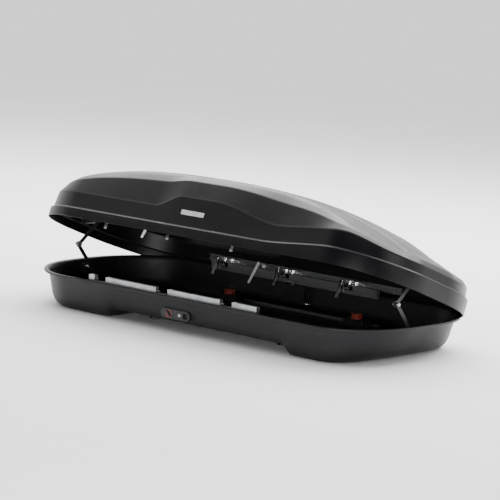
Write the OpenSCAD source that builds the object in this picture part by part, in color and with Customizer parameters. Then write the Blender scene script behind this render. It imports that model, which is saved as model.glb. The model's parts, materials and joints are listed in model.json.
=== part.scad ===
// Roof cargo box: a thermoformed tray and lid with latch rails on both long sides, two folding
// lid lifters and four clamps that hold it on round roof bars.
// Origin: centre of the tray's flat underside. +X to the nose, +Y to the hinge side in use, +Z up.
// Lid pieces are drawn closed and then turned about the far latch pins to the open rest position.

/* [Shells] */
// Overall length of the lid
lid_length = 2110; // [2000:10:2180]
// Overall width of the lid
lid_width = 915; // [905:5:945]
// Height of the lid's shoulder above the rim
shoulder_height = 268; // [255:1:280]
// Rise of the crowned top above the shoulder
crown_rise = 30; // [20:1:40]
// Depth of the tray's middle section
tray_depth = 120; // [118:1:124]
// How far the front and rear pods reach below the middle section
pod_drop = 40; // [38:1:44]
// Thickness of the moulded sheet
sheet = 3.2; // [3:0.1:4]
// Angle of the lid above closed, as drawn
lid_open = 20; // [0:1:20]

/* [Roof bars] */
// Diameter of the round roof bars
bar_d = 28.6; // [28:0.1:29]
// Distance from one bar to the other
bar_spacing = 760; // [700:10:800]
// Distance between the two clamps of one bar
clamp_spacing = 500; // [440:10:560]

/* [Locks] */
// Travel of each latch bar
latch_travel = 26; // [20:1:28]
// Radius of the latch pins that the lid hangs on
pin_r = 4; // [3.5:0.1:4]

/* [Hidden] */
$fn = 48;

rim = tray_depth;                    // height of the tray's rim
skirt_gap = 7;                       // side gap between the lid's skirt and the tray's lip
end_gap = 8;                         // the same at the nose and tail
base_half = [lid_length / 2 - sheet - end_gap, lid_width / 2 - sheet - skirt_gap];
lid_half = [lid_length / 2, lid_width / 2];
nose_more = 20;                      // how much farther the nose reaches than the tail, halved
rear_x = 330;                        // length of the elliptical rear corners
rear_y = 400;                        // width of the elliptical rear corners
nose_x = 290;                        // length of the elliptical front corners
nose_y = 370;                        // width of the elliptical front corners

hinge = [lid_width / 2 - 47.5, rim + 8];   // y and z of the far latch pins, the axis of the lid
run = 0.05;                          // radial running clearance of a pin in its bore

// ---------- Outline shared by the tray and the lid ----------

// A place on the near half of the outline is [zone, value]: 0 tail edge, 1 rear corner,
// 2 long side, 3 front corner, 4 nose edge. d is the inset at the [side, tail, nose].
function near_point(s, half, d) =
    let (value = s[1], tail = half.x - nose_more, nose = half.x + nose_more)
    s[0] == 0 ? [-(tail - d[1]), value] :
    s[0] == 1 ? [rear_x - tail - (rear_x - d[1]) * cos(value), rear_y - half.y - (rear_y - d[0]) * sin(value)] :
    s[0] == 2 ? [value, -(half.y - d[0])] :
    s[0] == 3 ? [nose - nose_x + (nose_x - d[2]) * sin(value), nose_y - half.y - (nose_y - d[0]) * cos(value)] :
    [nose - d[2], value];

corner_steps = 6;                    // steps of each half corner
edge_steps = 2;                      // steps of half the tail and nose edge

// Places along the long side, tail to nose, through the given straight stations.
function side_places(stations) = concat(
    [for (i = [0:corner_steps - 1]) [1, 45 + 45 * i / corner_steps]],
    [for (x = stations) [2, x]],
    [for (i = [1:corner_steps]) [3, 45 * i / corner_steps]]);
// Places along the tail and nose edges, from the near corner to the middle.
function tail_places(half) = concat(
    [for (i = [0:corner_steps - 1]) [1, 45 - 45 * i / corner_steps]],
    [for (i = [0:edge_steps]) [0, -(half.y - rear_y) * (1 - i / edge_steps)]]);
function nose_places(half) = concat(
    [for (i = [0:corner_steps - 1]) [3, 45 + 45 * i / corner_steps]],
    [for (i = [0:edge_steps]) [4, -(half.y - nose_y) * (1 - i / edge_steps)]]);

function mirrored(p) = [p.x, -p.y];
function reversed(list) = [for (i = [len(list) - 1:-1:0]) list[i]];
function evenly(a, b, n) = [for (i = [0:n]) a + (b - a) * i / n];

// The closed outline, anticlockwise from the near rear corner, at inset d.
function outline(stations, half, d) =
    let (
        side = [for (s = side_places(stations)) near_point(s, half, d)],
        tail = [for (s = tail_places(half)) near_point(s, half, d)],
        nose = [for (s = nose_places(half)) near_point(s, half, d)],
        near_nose = [for (i = [1:len(nose) - 1]) nose[i]],
        far_nose = [for (i = [len(nose) - 2:-1:0]) mirrored(nose[i])],
        far_side = [for (i = [len(side) - 2:-1:0]) mirrored(side[i])],
        far_tail = [for (i = [1:len(tail) - 1]) mirrored(tail[i])],
        near_tail = [for (i = [len(tail) - 2:-1:1]) tail[i]])
    concat(side, near_nose, far_nose, far_side, far_tail, near_tail);

// ---------- Closed thin shell from nested rings and two end grids ----------

function ring_index(k, j, rows, cols) =
    j == 0 ? k :
    k == rows ? rows + j :
    j == cols ? 2 * rows + cols - k :
    2 * rows + 2 * cols - j;

// Vertex number of grid cell corner [k, j]: on the ring at its edge, else an inner grid point.
function grid_index(k, j, rows, cols, ring_start, inner_start) =
    (k == 0 || k == rows || j == 0 || j == cols)
        ? ring_start + ring_index(k, j, rows, cols)
        : inner_start + (k - 1) * (cols - 1) + j - 1;

// Inner grid points: straight rows between facing points of the ring, with height(x, y).
function grid_points(ring, rows, cols, height) =
    [for (k = [1:rows - 1])
        for (j = [1:cols - 1])
            let (p = ring[k], y = p.y * (1 - 2 * j / cols))
            [p.x, y, height(p.x, y)]];

function grid_faces(rows, cols, ring_start, inner_start, up) =
    [for (k = [0:rows - 1])
        for (j = [0:cols - 1])
            let (
                a = grid_index(k, j, rows, cols, ring_start, inner_start),
                b = grid_index(k + 1, j, rows, cols, ring_start, inner_start),
                c = grid_index(k + 1, j + 1, rows, cols, ring_start, inner_start),
                d = grid_index(k, j + 1, rows, cols, ring_start, inner_start))
            each up ? [[a, d, c], [a, c, b]] : [[a, b, c], [a, c, d]]];

// rings run from the underside grid, along the wall and back to the upper grid.
module thin_shell(rings, rows, cols, under, upper) {
    count = len(rings[0]);
    last = len(rings) - 1;
    under_start = len(rings) * count;
    upper_start = under_start + (rows - 1) * (cols - 1);
    points = concat(
        [for (ring = rings) each ring],
        grid_points(rings[0], rows, cols, under),
        grid_points(rings[last], rows, cols, upper));
    wall = [for (r = [0:last - 1])
        for (i = [0:count - 1])
            let (
                n = (i + 1) % count,
                a = r * count + i,
                b = r * count + n,
                c = (r + 1) * count + n,
                d = (r + 1) * count + i)
            each [[a, c, b], [a, d, c]]];
    polyhedron(points, concat(
        grid_faces(rows, cols, 0, under_start, false),
        wall,
        grid_faces(rows, cols, last * count, upper_start, true)));
}

function smooth(t) = let (u = min(1, max(0, t))) u * u * (3 - 2 * u);
function mix(a, b, t) = a + (b - a) * t;

// ---------- Tray ----------

pod_edge_rear = -460;                // where the rear pod's ramp starts
pod_edge_front = 640;                // where the front pod's ramp ends
ramp = 60;                           // length of both ramps
nose_lift = 26;                      // rise of the front pod's floor towards the nose

function floor_z(x) =
    let (
        rear = 1 - smooth((x - pod_edge_rear) / ramp),
        front = smooth((x - pod_edge_front + ramp) / ramp),
        lift = nose_lift * pow(max(0, (x - 830) / 160), 2))
    -pod_drop * max(rear, front) + min(lift, nose_lift * 1.4);

base_stations = concat(
    evenly(nose_more + rear_x - base_half.x, pod_edge_rear, 3),
    evenly(pod_edge_rear + ramp / 2, pod_edge_rear + ramp, 1),
    evenly(pod_edge_rear + ramp + 98, pod_edge_front - ramp, 9),
    evenly(pod_edge_front - ramp / 2, base_half.x + nose_more - nose_x, 3));

// Each wall ring: inset at [side, tail, nose], height measured from the floor or from the rim.
tray_outer = [
    [[72, 150, 120], "floor", 0],
    [[54, 110, 95], "floor", 6],
    [[42, 75, 74], "floor", 22],
    [[35, 52, 58], "floor", 48],
    [[22, 26, 28], "rim", -15],
    [[20, 22, 23], "rim", -12],
    [[3, 3, 3], "rim", -12],
    [[0, 0, 0], "rim", -9],
    [[0, 0, 0], "rim", -3],
    [[3, 3, 3], "rim", 0],
    [[16, 16, 17], "rim", 0]];
tray_inner = [
    [[21 + sheet / 4, 22 + sheet / 4, 23 + sheet / 4], "rim", -4],
    [[22 + sheet, 26 + sheet, 28 + sheet], "rim", -15],
    [[35 + sheet, 52 + sheet, 58 + sheet], "floor", 48],
    [[42 + sheet, 75 + sheet, 74 + sheet], "floor", 22 + sheet / 2],
    [[54 + sheet / 2, 110 + sheet / 2, 95 + sheet / 2], "floor", 6 + sheet * 0.9],
    [[72, 150, 120], "floor", sheet]];

function tray_ring(spec) =
    [for (p = outline(base_stations, base_half, spec[0]))
        [p.x, p.y, (spec[1] == "rim" ? rim : floor_z(p.x)) + spec[2]]];

shell_cols = 16;
base_rows = len(side_places(base_stations)) - 1;

module tray() {
    thin_shell(
        [for (spec = concat(tray_outer, tray_inner)) tray_ring(spec)],
        base_rows, shell_cols,
        function (x, y) floor_z(x),
        function (x, y) floor_z(x) + sheet);
}

// Inset of the tray's inner wall at height z, for i = 0 side, 1 tail, 2 nose.
function wall_inset(i, z) =
    let (low = [0, -pod_drop, floor_z(base_half.x + nose_more - 58 - sheet)][i])
    mix([35, 52, 58][i], [22, 26, 28][i], (z - low - 48) / (rim - 15 - low - 48)) + sheet;

land = [-230, -330, 410, 330];       // flat land on the underside between the clamps
groove = [3, 0.8];                   // width and depth of the groove round it

module land_groove() {
    translate([0, 0, -1])
        linear_extrude(groove[1] + 1)
            difference() {
                translate([land[0] - groove[0], land[1] - groove[0]])
                    square([land[2] - land[0] + 2 * groove[0], land[3] - land[1] + 2 * groove[0]]);
                translate([land[0], land[1]]) square([land[2] - land[0], land[3] - land[1]]);
            }
}

module base_shell() {
    color("#2b2b2d")
    difference() {
        tray();
        land_groove();
        for (side = [-1, 1]) {
            lock_oval(side, bezel_l + cut_play, bezel_h + cut_play, base_half.y, lock_wall_back);
        }
        for (place = clamp_places) {
            translate([place.x + finger_r - 2, place.y - jaw_w / 2 - 1, -1])
                cube([jaw_travel + jaw_t + 11, jaw_w + 2, sheet + 2]);
        }
    }
}

// ---------- Roof bar clamps ----------

mid_x = (pod_edge_rear + ramp + pod_edge_front - ramp) / 2;   // middle of the flat section
bar_z = -bar_d / 2 - 3;              // height of the roof bars' axis
clamp_places = [for (i = [-1, 1]) for (j = [-1, 1]) [mid_x + i * bar_spacing / 2, j * clamp_spacing / 2]];
jaw_w = 40;                          // width of a jaw along the bar
jaw_t = 5;                           // thickness of a jaw
jaw_travel = 20;                     // how far the moving jaw opens
pad_t = 3;                           // thickness of the rubber pads
pad_gap = 0.2;                       // clearance between a pad and the bar
finger_r = bar_d / 2 + pad_gap + pad_t;   // inner radius of the moving finger
hook_end = bar_d / 2 * cos(50);      // how far the saddle's hook stops short of the bar's middle
housing = [118, 62, 30];             // size of a clamp housing on the floor
housing_r = 6;                       // radius of its upright corners
housing_wall = 2.5;                  // thickness of its walls
pinion_r = 5;                        // radius of the knob's shaft in the housing

// Fixed saddle under the floor: a block with the bar's groove and a hook on the tail side.
module clamp_saddle() {
    leg_out = bar_d / 2 + jaw_t;
    rotate([90, 0, 0])
        linear_extrude(jaw_w, center = true)
            difference() {
                union() {
                    translate([-leg_out, bar_z]) square([leg_out + 8, -bar_z]);
                    translate([0, bar_z])
                        intersection() {
                            circle(leg_out);
                            translate([-leg_out, -leg_out]) square([leg_out - hook_end, leg_out]);
                        }
                }
                translate([0, bar_z]) circle(bar_d / 2, $fn = 96);
            }
}

module clamp_saddles() {
    color("#3a3a3c")
    for (place = clamp_places) {
        translate([place.x, place.y, 0]) clamp_saddle();
    }
}

module clamp_housing(place) {
    color("#1d1d1f")
    translate([place.x, place.y, sheet]) {
        difference() {
            translate([-housing.x / 2, -housing.y / 2, 0])
                linear_extrude(housing.z)
                    translate([housing_r, housing_r])
                        offset(housing_r)
                            square([housing.x - 2 * housing_r, housing.y - 2 * housing_r]);
            translate([0, 0, (housing.z - housing_wall - 1) / 2])
                cube([housing.x - 2 * housing_wall, housing.y - 2 * housing_wall, housing.z - housing_wall + 1],
                    center = true);
            cylinder(h = housing.z + 1, r = pinion_r + run);
        }
    }
}

knob_r = 27;                         // radius of a clamp knob
knob_h = 22;                         // height of a clamp knob over its housing
disc_h = 5;                          // thickness of the disc under its lobes
lobes = 6;                           // number of finger hollows round it

module clamp_knob(place) {
    color("#c8372d")
    translate([place.x, place.y, sheet]) {
        translate([0, 0, 12]) cylinder(h = housing.z - 11, r = pinion_r);
        translate([0, 0, housing.z + 0.5]) cylinder(h = disc_h, r = knob_r);
        translate([0, 0, housing.z + disc_h])
            linear_extrude(knob_h - disc_h)
                difference() {
                    circle(knob_r - 3);
                    for (i = [0:lobes - 1]) {
                        rotate(i * 360 / lobes) translate([knob_r + 1, 0]) circle(8);
                    }
                }
    }
}

// Moving jaw: a slider plate in the housing, a leg through the floor slot and a hooked finger.
module clamp_jaw(place) {
    plate_z = sheet + 2;             // underside of the slider plate
    plate_h = 8;                     // its thickness
    color("#8f9296")
    translate([place.x, place.y, 0]) {
        translate([-34, pinion_r + 3, plate_z]) cube([34 + finger_r + jaw_t, 12, plate_h]);
        translate([finger_r, -jaw_w / 2, plate_z]) cube([jaw_t, jaw_w, plate_h]);
        rotate([90, 0, 0])
            linear_extrude(jaw_w, center = true)
                union() {
                    translate([finger_r, bar_z]) square([jaw_t, plate_z - bar_z + 4]);
                    translate([0, bar_z])
                        difference() {
                            intersection() {
                                circle(finger_r + jaw_t);
                                translate([finger_r * 0.55, -finger_r - jaw_t])
                                    square([finger_r, finger_r + jaw_t]);
                            }
                            circle(finger_r);
                        }
                }
    }
}

module clamp_pad(place) {
    color("#101010")
    translate([place.x, place.y, bar_z])
        rotate([90, 0, 0])
            linear_extrude(jaw_w - 2, center = true)
                difference() {
                    intersection() {
                        circle(finger_r);
                        translate([finger_r * 0.6, -finger_r]) square([finger_r, finger_r * 1.45]);
                    }
                    circle(bar_d / 2 + pad_gap, $fn = 96);
                }
}

// ---------- Floor rails and fasteners ----------

rail_y = clamp_spacing / 2 + housing.y / 2 + 12;   // distance of a floor rail from the middle

rail_section = [18, 10];             // width and height of a floor rail
channel_wall = 2;                    // its thickness

module floor_rails() {
    length = pod_edge_front - pod_edge_rear - 2 * ramp - 30;
    color("#9a9da1")
    for (side = [-1, 1]) {
        translate([mid_x, side * rail_y, sheet])
            rotate([90, 0, 90])
                linear_extrude(length, center = true)
                    difference() {
                        translate([-rail_section.x / 2, 0]) square(rail_section);
                        translate([channel_wall - rail_section.x / 2, -1])
                            square([rail_section.x - 2 * channel_wall, rail_section.y - channel_wall + 1]);
                    }
    }
}

// Blind rivet with its head's flat side at the origin and the shank below.
module rivet(head_r, head_h, shank) {
    cylinder(h = head_h, r1 = head_r, r2 = head_r * 0.6);
    translate([0, 0, -shank]) cylinder(h = shank, r = head_r * 0.45);
}

rivet_stations = [-535, -350, -190, 60, 210, 430];   // places of the latch rails' rivets

module base_rivets() {
    color("#b9bcc0")
    for (side = [-1, 1], x = rivet_stations) {
        translate([x, side * (hinge.x + rail_half - rail_wall), rail_low + 7])
            rotate([side * 90, 0, 0]) rivet(4, 1.5, 7.5);
    }
}

// ---------- Latch rails and bars on both sides ----------

rail_ends = [-550, 457];             // ends of a latch rail along X
latch_stations = [-480, -100, 280];  // where the strikers drop into the rail
rail_low = rim - 16;                 // underside of the rail
rail_top = rim + 25;                 // top of the rail
rail_half = 9;                       // half width of the rail
rail_wall = 2;                       // thickness of the rail's walls
window = 70;                         // length of the opening at a latch station
lock_x = -10;                        // middle of the lock panel
knob_x = lock_x - 40;                // axis of the lock's knob
key_x = lock_x + 26;                 // axis of the key cylinder
lock_z = rim - 79;                   // height of the lock's axes

module latch_rail(side) {
    color("#d4d7da")
    difference() {
        translate([rail_ends[0], side * hinge.x - rail_half, rail_low])
            cube([rail_ends[1] - rail_ends[0], 2 * rail_half, rail_top - rail_low]);
        translate([rail_ends[0] - 1, side * hinge.x - rail_half + rail_wall, rail_low + rail_wall])
            cube([rail_ends[1] - rail_ends[0] + 2, 2 * (rail_half - rail_wall), rail_top - rail_low]);
        for (x = latch_stations) {
            translate([x - window / 2, side * hinge.x - rail_half - 1, hinge.y - 8])
                cube([window, 2 * rail_half + 2, rail_top - hinge.y + 9]);
        }
        translate([knob_x - 36, side * (hinge.x - rail_half) - 3, rail_low - 1])
            cube([72, 6, hinge.y - 8 - rail_low + 1]);
    }
}

bar_half = 4;                        // half width of the latch bar
bar_h = 10;                          // height of the latch bar
hook_l = 8;                          // length of a hook that carries a latch pin
pin_l = 25;                          // length of a latch pin
pin_start = -19;                     // where a latch pin starts, from its station
leg_l = 18;                          // length of the leg that the crank moves
leg_t = 4;                           // thickness of the latch bar's leg
crank_r = latch_travel / 2 / sin(45);   // radius of the crank, which turns from -45 to 45 degrees
crank_pin_r = 3;                     // radius of the crank's pin
slot_play = 0.9;                     // side clearance of the crank pin in its slot
leg_y = hinge.x - rail_half - 2;     // outer face of the leg, from the middle of the box

// Latch bar: engaged when shift is 0, drawn back by shift.
module latch_bar(side, shift) {
    bar_low = rail_low + rail_wall + 0.4;
    slot_low = lock_z + crank_r * cos(45) - crank_pin_r - 1;
    slot_high = lock_z + crank_r + crank_pin_r + 1.5;
    color("#8a8d92")
    translate([-shift, 0, 0]) {
        translate([latch_stations[0] - 32, side * hinge.x - bar_half, bar_low])
            cube([latch_stations[2] - latch_stations[0] + 20, 2 * bar_half, bar_h]);
        for (x = latch_stations) {
            translate([x + pin_start + 1 - hook_l, side * hinge.x - bar_half, bar_low + bar_h - 1])
                cube([hook_l, 2 * bar_half, hinge.y + pin_r - bar_low - bar_h + 1]);
            translate([x + pin_start, side * hinge.x, hinge.y])
                rotate([0, 90, 0]) cylinder(h = pin_l, r = pin_r);
        }
        translate([knob_x + latch_travel / 2 - leg_l / 2, 0, 0]) {
            difference() {
                translate([0, side * (leg_y - leg_t / 2) - leg_t / 2, slot_low - 2])
                    cube([leg_l, leg_t, bar_low + bar_h - slot_low + 2]);
                translate([leg_l / 2 - crank_pin_r - slot_play, side * leg_y - 6, slot_low])
                    cube([2 * (crank_pin_r + slot_play), 12, slot_high - slot_low]);
            }
            translate([0, side * (leg_y + 4) - 8, bar_low + 3])
                cube([leg_l, 16, bar_h - 5]);
        }
    }
}

// ---------- Lock panel, knob, key cylinder and inner case ----------

bezel_l = 172;                       // length of the oval lock panel
bezel_h = 42;                        // height of the panel
cut_play = 0.6;                      // clearance of the panel in the wall's cut-out
bezel_face = base_half.y - 25;       // distance of the panel's face from the middle
lock_wall_back = base_half.y - 52;   // where the oval cut through the wall ends
knob_depth = 9;                      // depth of the knob's recess in the panel
lock_knob_r = 17;                    // radius of the lock's knob
shaft_r = 6;                         // radius of its shaft
key_r = 6.5;                         // radius of the key cylinder
case_y = hinge.x - 25;               // inner face of the lock case
case_l = 132;                        // length of the lock case

// Oval prism through the side wall, between the two distances from the middle.
module lock_oval(side, length, height, from, to) {
    translate([lock_x, side * from, lock_z])
        rotate([side * 90, 0, 0])
            linear_extrude(from - to)
                hull() {
                    for (i = [-1, 1]) {
                        translate([i * (length - height) / 2, 0]) circle(height / 2, $fn = 64);
                    }
                }
}

// Cylinder along Y, from the outer distance inwards.
module side_cylinder(side, x, from, to, r) {
    translate([x, side * from, lock_z])
        rotate([side * 90, 0, 0]) cylinder(h = from - to, r = r);
}

module lock_bezel(side) {
    color("#151516")
    difference() {
        lock_oval(side, bezel_l, bezel_h, bezel_face, bezel_face - 19);
        side_cylinder(side, knob_x, bezel_face + 1, bezel_face - knob_depth, lock_knob_r + 0.6);
        side_cylinder(side, knob_x, bezel_face + 1, bezel_face - 40, shaft_r + run);
        side_cylinder(side, key_x, bezel_face + 1, bezel_face - 40, key_r + run);
        translate([lock_x + 61, side * (bezel_face - 4), lock_z])
            cube([28, 16, 24], center = true);
    }
}

// Crank angle: 0 points up; -45 retracts the bar, 45 engages it.
module lock_knob(side, crank) {
    color("#242426") {
        side_cylinder(side, knob_x, bezel_face - 1, bezel_face - knob_depth + 0.4, lock_knob_r);
        translate([knob_x, 0, lock_z])
            rotate([0, crank, 0])
                translate([-3.5, side * (bezel_face + 1.5) - 3.5, -lock_knob_r + 2])
                    cube([7, 7, 2 * lock_knob_r - 4]);
        side_cylinder(side, knob_x, bezel_face - knob_depth + 1, leg_y - leg_t - 5, shaft_r);
        translate([knob_x, 0, lock_z])
            rotate([0, crank, 0]) {
                translate([-5, side * (leg_y - leg_t - 3) - 2, -4]) cube([10, 4, crank_r + 8]);
                translate([0, side * (leg_y + 0.5), crank_r])
                    rotate([side * 90, 0, 0]) cylinder(h = leg_t + 3, r = crank_pin_r);
            }
    }
}

module knob_ring(side) {
    color("#b03a35")
    difference() {
        side_cylinder(side, knob_x, bezel_face, bezel_face - 1, lock_knob_r);
        side_cylinder(side, knob_x, bezel_face + 1, bezel_face - 2, lock_knob_r - 4);
        translate([knob_x, side * bezel_face, lock_z])
            rotate([0, side < 0 ? -45 : 45, 0]) cube([9, 12, 2 * lock_knob_r - 2], center = true);
    }
}

module key_cylinder(side) {
    color("#c9ccd0")
    difference() {
        side_cylinder(side, key_x, bezel_face + 1, bezel_face - 24, key_r);
        translate([key_x - 0.8, side * (bezel_face - 3) - 5, lock_z - 4]) cube([1.6, 10, 8]);
    }
}

// Cover over the crank and leg inside the box: it follows the sloping wall.
module lock_case(side) {
    low = 18;
    high = 100;
    wall = 2.5;
    function wall_y(z) = base_half.y - wall_inset(0, z) - 0.5;
    outer = [[case_y, low], [case_y, high], [wall_y(high), high], [wall_y(48), 48], [wall_y(48) - 7.5, 24],
        [wall_y(48) - 12, low]];
    inner = [[case_y + wall, low + wall], [case_y + wall, high + 5], [base_half.y, high + 5],
        [base_half.y, low + wall]];
    color("#1d1d1f")
    difference() {
        translate([knob_x - 40, 0, 0]) side_profile(side, case_l) polygon(outer);
        translate([knob_x - 40 + wall, 0, 0]) side_profile(side, case_l - 2 * wall) polygon(inner);
        lock_oval(side, bezel_l + cut_play, bezel_h + cut_play, base_half.y, wall_y(48) - 9);
    }
}

// Extrudes a [distance from middle, height] profile along X, on the near or the far side.
module side_profile(side, length) {
    mirror([0, side < 0 ? 1 : 0, 0])
        rotate([90, 0, 90])
            linear_extrude(length) children();
}

// ---------- Lid ----------

peak_x = 80;                         // where the lid is highest
belt_low = 90;                       // height of the crease above the rim, away from its hump
belt_hump = 60;                      // extra height of the crease beside the badge
spine_step = 12;                     // height of the raised spine over the nose decks

function shoulder(x) =
    shoulder_height
    - 98 * pow(max(0, peak_x - x) / 890, 2.7)
    - 150 * pow(max(0, x - peak_x) / 860, 2.6);
// Rise of the lid's step and crease towards the nose.
function nose_rise(x) = 28 * smooth((x - 420) / 430);
function belt(x) =
    rim + belt_low + belt_hump * (smooth((x + 225) / 155) - smooth((x - 120) / 400))
    + nose_rise(x) - 35 * smooth((x - 850) / 200);
function spine_half(x) = mix(310, 130, smooth((x - 420) / 480));
function spine(x, y) =
    spine_step * smooth((x - 330) / 420) * (1 - smooth((abs(y) - spine_half(x) + 30) / 60));
function crown(x, y) =
    (crown_rise - 10 * smooth((x - 300) / 500)) * (1 - pow(min(1, abs(y) / 360), 2));
function lid_top(x, y) = rim + shoulder(x) + crown(x, y) + spine(x, y);

lid_stations = evenly(nose_more + rear_x - lid_half.x, lid_half.x + nose_more - nose_x, 17);
lid_rows = len(side_places(lid_stations)) - 1;
plateau_inset = [95, 100, 100];
plateau = [for (p = outline(lid_stations, lid_half, plateau_inset)) [p.x, p.y, lid_top(p.x, p.y)]];

// Share of the height from crease to plateau, for the shoulder bevel's lower and upper edge.
function bevel_share(x, low) =
    let (nose = smooth((x - 600) / 350), tail = smooth((-600 - x) / 350))
    low ? 0.68 - 0.1 * nose - 0.12 * tail : 0.91 - 0.05 * nose - 0.06 * tail;

// Each lid ring: inset at [side, tail, nose], height rule, value, and offset inwards by the sheet.
function lid_ring(spec, inner) =
    let (
        in = inner ? sheet : 0,
        d = [for (v = spec[0]) v + in],
        drop = inner ? spec[3] : 0)
    [for (i = [0:len(plateau) - 1])
        let (
            p = outline(lid_stations, lid_half, d)[i],
            top = plateau[i].z,
            z = spec[1] == "rim" ? rim + spec[2] :
                spec[1] == "step" ? rim + spec[2] + nose_rise(p.x) :
                spec[1] == "belt" ? belt(p.x) + spec[2] :
                mix(belt(p.x), top, bevel_share(plateau[i].x, spec[1] == "low")))
        [p.x, p.y, z - drop]];

lid_outer = [
    [[0, 0, 0], "rim", -30, 0],
    [[0, 0, 0], "step", 10, 0],
    [[3, 3, 3], "step", 14, sheet],
    [[12, 12, 12], "step", 18, sheet],
    [[18, 20, 18], "belt", -2, sheet],
    [[21, 23, 20.5], "belt", 5, sheet],
    [[46, 58, 40], "low", 0, sheet / 2],
    [[76, 80, 72], "high", 0, sheet]];

function plateau_ring(inner) =
    [for (i = [0:len(plateau) - 1]) plateau[i] - [0, 0, inner ? sheet : 0]];

module lid_shell() {
    outer = [for (spec = lid_outer) lid_ring(spec, false)];
    inner = [for (i = [len(lid_outer) - 1:-1:0]) lid_ring(lid_outer[i], true)];
    color("#161617")
    open_lid()
        thin_shell(
            concat([plateau_ring(true)], inner, outer, [plateau_ring(false)]),
            lid_rows, shell_cols,
            function (x, y) lid_top(x, y) - sheet,
            function (x, y) lid_top(x, y));
}

// Turns closed-lid pieces about the far latch pins to the open position.
module open_lid() {
    translate([0, hinge.x, hinge.y])
        rotate([-lid_open, 0, 0])
            translate([0, -hinge.x, -hinge.y]) children();
}

stiff_x = [-600, 560];               // ends of the lid's edge stiffeners
stiff_y = lid_half.y - 16 - sheet;   // outer face of a stiffener's upright flange
stiff_z = [rim + 24, rim + 54];      // lower and upper end of that flange
flange = [2.5, 14];                  // thickness and width of a stiffener's flanges

// Aluminium angle along the inside of the lid's side wall.
module lid_stiffener(side) {
    color("#a7aaae")
    open_lid()
        translate([stiff_x[0], 0, 0])
            side_profile(side, stiff_x[1] - stiff_x[0])
                polygon([[stiff_y, stiff_z[0]], [stiff_y, stiff_z[1]], [stiff_y - flange[1], stiff_z[1]],
                    [stiff_y - flange[1], stiff_z[1] - flange[0]], [skin_y, stiff_z[1] - flange[0]],
                    [skin_y, stiff_z[0]]]);
}

inner_y = hinge.x - rail_half - 9;   // plane of what hangs inside the rail
skin_y = stiff_y - flange[0];        // inner face of the stiffeners' upright flange
ear_t = 6;                           // thickness of a striker's ear
ear_half = 6;                        // half width of an ear
striker_t = 2.5;                     // thickness of a striker's plates
striker_l = 110;                     // length of a striker
striker_tail = 45;                   // how far a striker reaches to the tail of its ear
shelf_z = rim + 40;                  // underside of a striker's shelf
leaf_l = 16;                         // length of the leaf that hangs inside the rail
leaf_z = rim - 46;                   // lower end of the leaf

// Striker: a plate on the stiffener, a shelf over the rail, an ear with the pin's bore and
// a leaf that hangs inside the rail.
module striker(side, x) {
    shelf = [inner_y - striker_t / 2, skin_y];
    leaf = [inner_y - striker_t / 2, inner_y + striker_t / 2];
    plate = [skin_y - striker_t, skin_y];
    difference() {
        union() {
            side_box(side, x - striker_tail, striker_l, plate, [shelf_z - 12, shelf_z + 6]);
            side_box(side, x - striker_tail, striker_l, shelf, [shelf_z, shelf_z + striker_t]);
            side_box(side, x - striker_tail, leaf_l, leaf, [leaf_z, shelf_z + 1]);
            side_box(side, x - ear_t / 2, ear_t, [hinge.x - ear_half, hinge.x + ear_half],
                [hinge.y, shelf_z + 1]);
            translate([x - ear_t / 2, side * hinge.x, hinge.y])
                rotate([0, 90, 0]) cylinder(h = ear_t, r = ear_half);
        }
        translate([x - ear_t, side * hinge.x, hinge.y])
            rotate([0, 90, 0]) cylinder(h = 2 * ear_t, r = pin_r + run);
    }
}

// Box from x0 over a span of distances from the middle and a span of heights, on one side.
module side_box(side, x0, length, span, heights) {
    translate([x0, side > 0 ? span[0] : -span[1], heights[0]])
        cube([length, span[1] - span[0], heights[1] - heights[0]]);
}

module strikers(side) {
    color("#e6e8ea")
    open_lid()
        for (x = latch_stations) {
            striker(side, x);
        }
}

tongue_x = -285;                     // tip of the guide tongue
tongue_t = 3;                        // thickness of the tongue
tongue_tip = [0, rim - 52];          // middle of its lower end, from tongue_x
tongue_root = [26, rim + 42];        // middle of its upper end, from tongue_x

// Slanted tongue that guides the closing lid over the rail.
module guide_tongue(side) {
    color("#f0f1f2")
    open_lid()
        translate([tongue_x, 0, 0]) {
            translate([0, side * inner_y + tongue_t / 2, 0])
                rotate([90, 0, 0])
                    linear_extrude(tongue_t)
                        hull() {
                            translate(tongue_root) circle(8);
                            translate(tongue_tip) circle(6);
                        }
            side_box(side, tongue_root.x - 8, 16, [inner_y, skin_y], [tongue_root.y, tongue_root.y + 3]);
            side_box(side, tongue_root.x - 8, 16, [skin_y - striker_t, skin_y], [rim + 30, rim + 45]);
        }
}

badge_x = [-52, 82];                 // ends of the blank badge
badge_z = rim + 80;                  // its middle
badge_h = 21;                        // its height
badge_t = 2.6;                       // its thickness
badge_r = 4;                         // radius of its corners

module badge(side) {
    wall_y = lid_half.y - 15;        // the lid's wall behind the badge
    lean = 2.6;                      // how far that wall leans in, in degrees
    size = [badge_x[1] - badge_x[0], badge_h];
    color("#d9dadb")
    open_lid()
        translate([(badge_x[0] + badge_x[1]) / 2, side * (wall_y + 0.6), badge_z])
            rotate([side * -lean, 0, 0])
                rotate([90, 0, 0])
                    linear_extrude(badge_t, center = true)
                        offset(badge_r)
                            square([size.x - 2 * badge_r, size.y - 2 * badge_r], center = true);
}

lid_rivet_stations = [-560, -380, -200, 130, 360, 520];   // places of the stiffeners' rivets

module lid_rivets() {
    color("#6f7276")
    open_lid()
        for (side = [-1, 1], x = lid_rivet_stations) {
            translate([x, side * skin_y, rim + 32])
                rotate([side * 90, 0, 0]) rivet(4.5, 1.8, 6.8);
        }
}

// ---------- Lid lifters at the tail and the nose ----------

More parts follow.
